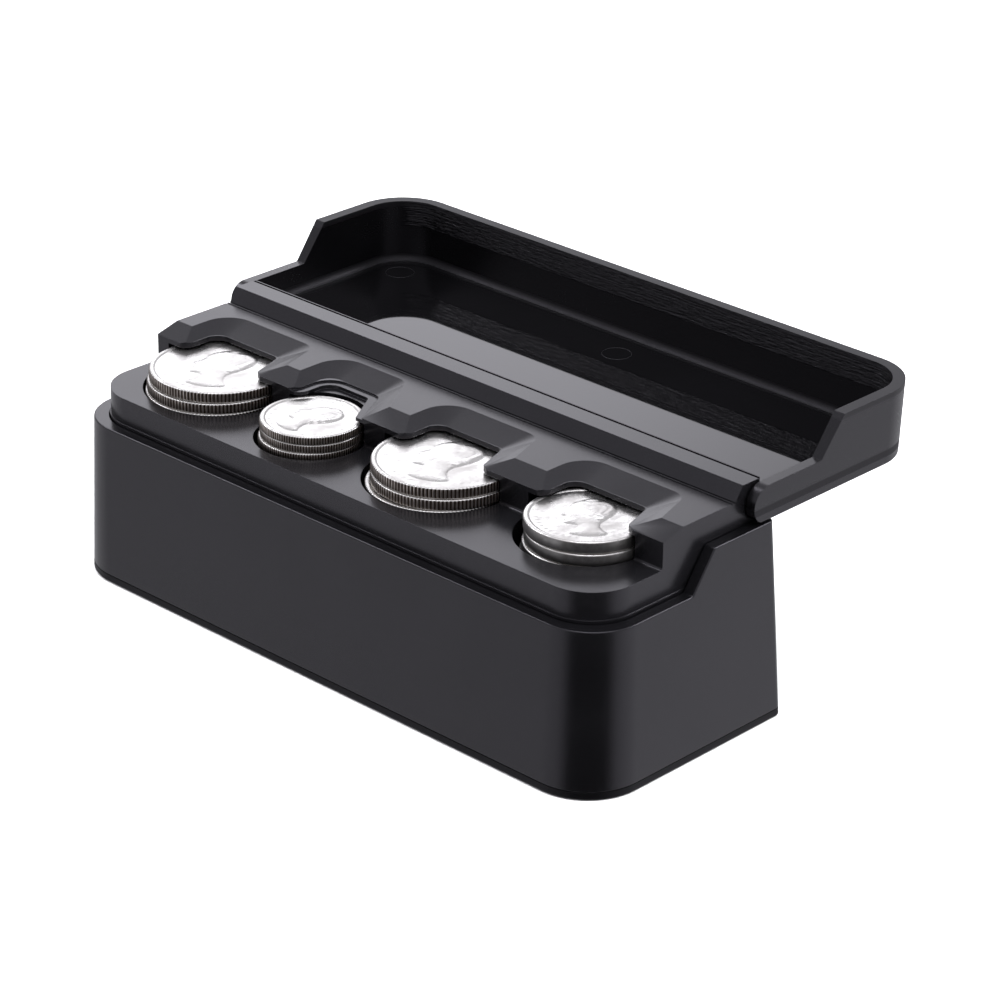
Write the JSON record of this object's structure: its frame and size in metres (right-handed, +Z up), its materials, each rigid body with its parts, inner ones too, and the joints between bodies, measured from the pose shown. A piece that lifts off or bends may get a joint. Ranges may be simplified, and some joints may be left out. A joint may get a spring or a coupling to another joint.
{
  "type": "coin holder",
  "caption": "Tapered black plastic box with round spring-loaded coin wells side by side, overhanging lips that hold the coins, and a hinged lid standing open behind.",
  "frame": {"origin": "centre of the flat underside of the box", "axes": "+X along the length, to the right as seen from the coins' side; +Y towards the hinge and the open lid; +Z up"},
  "size_m": [0.1234, 0.0816, 0.049],
  "materials": {
    "box_plastic": "satin moulded ABS with a very fine grain",
    "tray_plastic": "satin moulded ABS with a very fine grain",
    "lid_plastic": "moulded ABS, glossy inside the skin and lightly striated on the front wall",
    "pusher_plastic": "plain moulded plastic",
    "coin_metal": "struck nickel-silver, bright with light wear",
    "spring_steel": "drawn spring wire",
    "screw_steel": "zinc-plated"
  },
  "bodies": {
    "root": {"base_shell": "box_plastic", "bottom_plate": "box_plastic", "coin_tray": "tray_plastic", "screws": "screw_steel", "spring_1": "spring_steel", "spring_2": "spring_steel", "spring_3": "spring_steel", "spring_4": "spring_steel"},
    "lid": {"lid": "lid_plastic"},
    "stack_1": {"pusher_1": "pusher_plastic", "coin_1_top": "coin_metal", "coin_1_second": "coin_metal", "coin_1_third": "coin_metal", "coin_1_rest": "coin_metal"},
    "stack_2": {"pusher_2": "pusher_plastic", "coin_2_top": "coin_metal", "coin_2_second": "coin_metal", "coin_2_third": "coin_metal", "coin_2_rest": "coin_metal"},
    "stack_3": {"pusher_3": "pusher_plastic", "coin_3_top": "coin_metal", "coin_3_second": "coin_metal", "coin_3_third": "coin_metal", "coin_3_rest": "coin_metal"},
    "stack_4": {"pusher_4": "pusher_plastic", "coin_4_top": "coin_metal", "coin_4_second": "coin_metal", "coin_4_third": "coin_metal", "coin_4_rest": "coin_metal"}
  },
  "joints": [
    {"name": "lid_hinge", "type": "hinge", "parent": "root", "child": "lid", "pos_m": [0, 0.01815, 0.0391], "axis": [1, 0, 0], "range_deg": [0, 180]},
    {"name": "pusher_1_slide", "type": "slide", "parent": "root", "child": "stack_1", "axis": [0, 0, 1], "range_m": [-0.016, 0], "stiffness_N_per_m": 120, "springref_m": 0.008, "deforming": ["spring_1"]},
    {"name": "pusher_2_slide", "type": "slide", "parent": "root", "child": "stack_2", "axis": [0, 0, 1], "range_m": [-0.016, 0], "stiffness_N_per_m": 120, "springref_m": 0.008, "deforming": ["spring_2"]},
    {"name": "pusher_3_slide", "type": "slide", "parent": "root", "child": "stack_3", "axis": [0, 0, 1], "range_m": [-0.016, 0], "stiffness_N_per_m": 120, "springref_m": 0.008, "deforming": ["spring_3"]},
    {"name": "pusher_4_slide", "type": "slide", "parent": "root", "child": "stack_4", "axis": [0, 0, 1], "range_m": [-0.016, 0], "stiffness_N_per_m": 120, "springref_m": 0.008, "deforming": ["spring_4"]}
  ]
}
